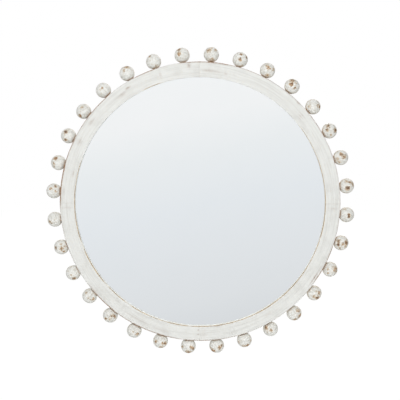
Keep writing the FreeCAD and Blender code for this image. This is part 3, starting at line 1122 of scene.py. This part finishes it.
class MIRROR_OT_screws(bpy.types.Operator):
    """Model the cross-head screws of the board and the hangers"""
    bl_idname = "mirror.screws"
    bl_label = "Screws"

    def execute(self, context):
        back = context.scene.mirror_back
        finish = plated_steel("Zinc screw", back)
        chance = random.Random(back.screw_count)
        board_places = [at_clock(back.screw_circle, 0, (index + 0.5) * 360 / back.screw_count)
                        for index in range(back.screw_count)]
        self.set_screws("board_screws", self.countersunk(back), board_places, finish, chance)
        hanger_places = [self.hanger_place(1), self.hanger_place(-1)]
        self.set_screws("hanger_screws", self.pan_head(), hanger_places, finish, chance)
        return {"FINISHED"}

    def countersunk(self, back):
        low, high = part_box("board_screws")
        head = back.screw_head
        shank = back.screw_shank
        rim = high.y - 0.2 * MILLIMETRE
        tip = low.y + 2.5 * MILLIMETRE
        corners = [(0, high.y), (head, high.y), (head, rim), (shank, rim - (head - shank)),
                   (shank, tip), (0, low.y)]
        return turned_screw("countersunk_screw", corners)

    def pan_head(self):
        low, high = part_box("hanger_screws")
        head = 3.5 * MILLIMETRE
        shank = 1.75 * MILLIMETRE
        under = high.y - 2.4 * MILLIMETRE
        tip = low.y + 3 * MILLIMETRE
        corners = [(0, high.y), (head, high.y), (head, under), (shank, under), (shank, tip), (0, low.y)]
        return turned_screw("pan_head_screw", corners, easing=1.9 * MILLIMETRE)

    def hanger_place(self, side):
        """Middle of the hanger screw on one side, from the CAD node."""
        own = [v.co for v in cad_nodes["hanger_screws"].data.vertices if v.co.x * side > 0]
        middle = [(min(p[axis] for p in own) + max(p[axis] for p in own)) / 2 for axis in (0, 2)]
        return Vector((middle[0], 0, middle[1]))

    def set_screws(self, node, screw, places, finish, chance):
        """Puts copies of one screw in their holes, each turned as it happened to end."""
        copies = [copied(screw, f"cross_head_{node}_{index}", chance.uniform(0, math.tau), where)
                  for index, where in enumerate(places)]
        discard(screw)
        piece = joined(f"cross_head_{node}", copies)
        smooth(piece, 30)
        dress(piece, finish)
        place(piece, "mirror", "zinc_screw", node)


class MIRROR_OT_hangers(bpy.types.Operator):
    """Finish the straps, rings and bumpers"""
    bl_idname = "mirror.hangers"
    bl_label = "Hangers"

    def execute(self, context):
        back = context.scene.mirror_back
        plating = plated_steel("Plated hanger steel", back)
        rubber = bumper_rubber(back)
        for side in SIDES:
            dress(cad_nodes[f"{side}_hanger_strap"], plating)
            dress(cad_nodes[f"{side}_hanger_ring"], plating)
            dress(cad_nodes[f"{side}_bumper"], rubber)
        return {"FINISHED"}


# Each lamp: its place, the point that it lights, its width, and whether reflections show it.
LAMPS = {
    "key": ((-1.2, -2.2, 2.5), (0, 0, 0), 1.8, False),
    "front": ((-0.15, -3.2, 1.4), (0, 0, -0.1), 1.2, False),
    "low": ((0.8, -1.6, -1.3), (0, 0, 0), 1.2, False),
    "behind": ((0.9, 2.6, 1.6), (0, 0, 0), 1.8, True),
}

# The gradient that the mirror shows: place from low to high, and colour.
MIRROR_TONES = (
    (0.0, (190, 193, 196)),
    (0.2375, (227, 228, 230)),
    (0.375, (234, 236, 239)),
    (0.45, (240, 241, 242)),
    (0.509, (248, 247, 247)),
    (0.8, (252, 252, 252)),
)
FLOOR_RADIUS = 14
FLOOR_MOTTLE = (0.7, 0.7, 0.7, 1)
FLOOR_GLOW = 1.08


def look_at(thing, target):
    thing.rotation_euler = (Vector(target) - thing.location).to_track_quat("-Z", "Y").to_euler()


class MIRROR_OT_stage(bpy.types.Operator):
    """Set up the floor, the soft light and the camera"""
    bl_idname = "mirror.stage"
    bl_label = "Stage"

    def execute(self, context):
        stage = context.scene.mirror_stage
        context.scene.view_settings.view_transform = "Standard"
        self.lay_floor(stage)
        self.light_world(context.scene, stage)
        for name in LAMPS:
            self.hang_lamp(context.scene, name, getattr(stage, f"{name}_power"))
        self.stand_camera(context.scene, stage)
        return {"FINISHED"}

    def lay_floor(self, stage):
        """A pale floor that takes the mirror's shadow and is almost white to the camera."""
        deselect()
        bpy.ops.mesh.primitive_circle_add(vertices=96, radius=FLOOR_RADIUS, fill_type="NGON")
        floor = bpy.context.object
        floor.name = "studio_floor"
        floor.data.transform(Matrix.Translation((0, 0, stage.floor_drop)))
        material, nodes, shader = new_material("Pale studio floor")
        mottled = nodes.times(nodes.noise(nodes.here(), 3.0, 4.0, 0.5), 0.04)
        nodes.feed(shader, {"Base Color": nodes.mixed(mottled, stage.floor, FLOOR_MOTTLE),
                            "Roughness": 0.9})
        white = nodes.add("ShaderNodeEmission", {"Color": WHITE, "Strength": FLOOR_GLOW})
        light = nodes.add("ShaderNodeLightPath").outputs
        shown = nodes.mixed_shaders(nodes.times(light["Is Camera Ray"], 0.9), shader.outputs["BSDF"],
                                    white.outputs["Emission"])
        nodes.feed(nodes.tree.get_output_node("ALL"), {"Surface": shown})
        dress(floor, material)
        floor.visible_glossy = False

    def light_world(self, scene, stage):
        """Even light, a white background, and a pale upright gradient for what the mirror shows."""
        world = bpy.data.worlds.new("Studio")
        world.use_nodes = True
        world.node_tree.nodes.clear()
        nodes = Nodes(world.node_tree)
        direction = nodes.add("ShaderNodeTexCoord").outputs["Generated"]
        way = nodes.add("ShaderNodeSeparateXYZ", {"Vector": direction}).outputs
        slant = nodes.scaled(way["X"], -0.2, way["Z"])
        ramp = nodes.add("ShaderNodeValToRGB", {"Fac": nodes.scaled(slant, 1.25, 0.5)})
        stops = ramp.color_ramp.elements
        while len(stops) < len(MIRROR_TONES):
            stops.new(0.5)
        for stop, (where, tone) in zip(stops, MIRROR_TONES):
            stop.position = where
            stop.color = srgb(*tone)
        light = nodes.add("ShaderNodeLightPath").outputs
        thrown = nodes.maths("MINIMUM", light["Diffuse Depth"], 1.0)
        strength = nodes.scaled(thrown, stage.thrown, 1.0)
        skies = ((WHITE, stage.ambient), (ramp.outputs["Color"], strength), (WHITE, 1.0))
        even, mirrored, white = (
            nodes.add("ShaderNodeBackground", {"Color": tint, "Strength": share}).outputs["Background"]
            for tint, share in skies)
        lit = nodes.mixed_shaders(light["Is Glossy Ray"], even, mirrored)
        shown = nodes.mixed_shaders(light["Is Camera Ray"], lit, white)
        nodes.add("ShaderNodeOutputWorld", {"Surface": shown})
        scene.world = world

    def hang_lamp(self, scene, name, watts):
        where, target, width, reflected = LAMPS[name]
        data = bpy.data.lights.new(f"lamp_{name}", "AREA")
        data.shape = "SQUARE"
        data.size = width
        data.energy = watts
        lamp = bpy.data.objects.new(f"lamp_{name}", data)
        scene.collection.objects.link(lamp)
        lamp.location = where
        lamp.visible_glossy = reflected
        look_at(lamp, target)

    def stand_camera(self, scene, stage):
        data = bpy.data.cameras.new("photo_camera")
        data.lens = stage.lens
        camera = bpy.data.objects.new("photo_camera", data)
        scene.collection.objects.link(camera)
        camera.location = stage.camera
        look_at(camera, stage.aim)
        scene.camera = camera


OPERATORS = (MIRROR_OT_ring, MIRROR_OT_balls, MIRROR_OT_glass, MIRROR_OT_back, MIRROR_OT_screws,
             MIRROR_OT_hangers, MIRROR_OT_stage)
SETTINGS = {"mirror_ring": RingSettings, "mirror_balls": BallSettings, "mirror_paint": PaintSettings,
            "mirror_back": BackSettings, "mirror_stage": StageSettings}


class MIRROR_PT_pieces(bpy.types.Panel):
    """Lists the pieces of the mirror"""
    bl_idname = "MIRROR_PT_pieces"
    bl_label = "Round mirror"
    bl_space_type = "VIEW_3D"
    bl_region_type = "UI"
    bl_category = "Mirror"

    def draw(self, context):
        for operator in OPERATORS:
            self.layout.operator(operator.bl_idname)


CLASSES = tuple(SETTINGS.values()) + OPERATORS + (MIRROR_PT_pieces,)


def register():
    for item in CLASSES:
        bpy.utils.register_class(item)
    for name, group in SETTINGS.items():
        setattr(bpy.types.Scene, name, PointerProperty(type=group))


def unregister():
    for name in SETTINGS:
        delattr(bpy.types.Scene, name)
    for item in reversed(CLASSES):
        bpy.utils.unregister_class(item)


def main():
    register()
    for make_group in (wood_grain_group, brushed_paint_group, rubbed_through_group, dull_patches_group):
        make_group()
    bpy.ops.mirror.stage()
    bpy.ops.mirror.ring()
    bpy.ops.mirror.balls()
    bpy.ops.mirror.glass()
    bpy.ops.mirror.back()
    bpy.ops.mirror.screws()
    bpy.ops.mirror.hangers()


if __name__ == "__main__":
    main()
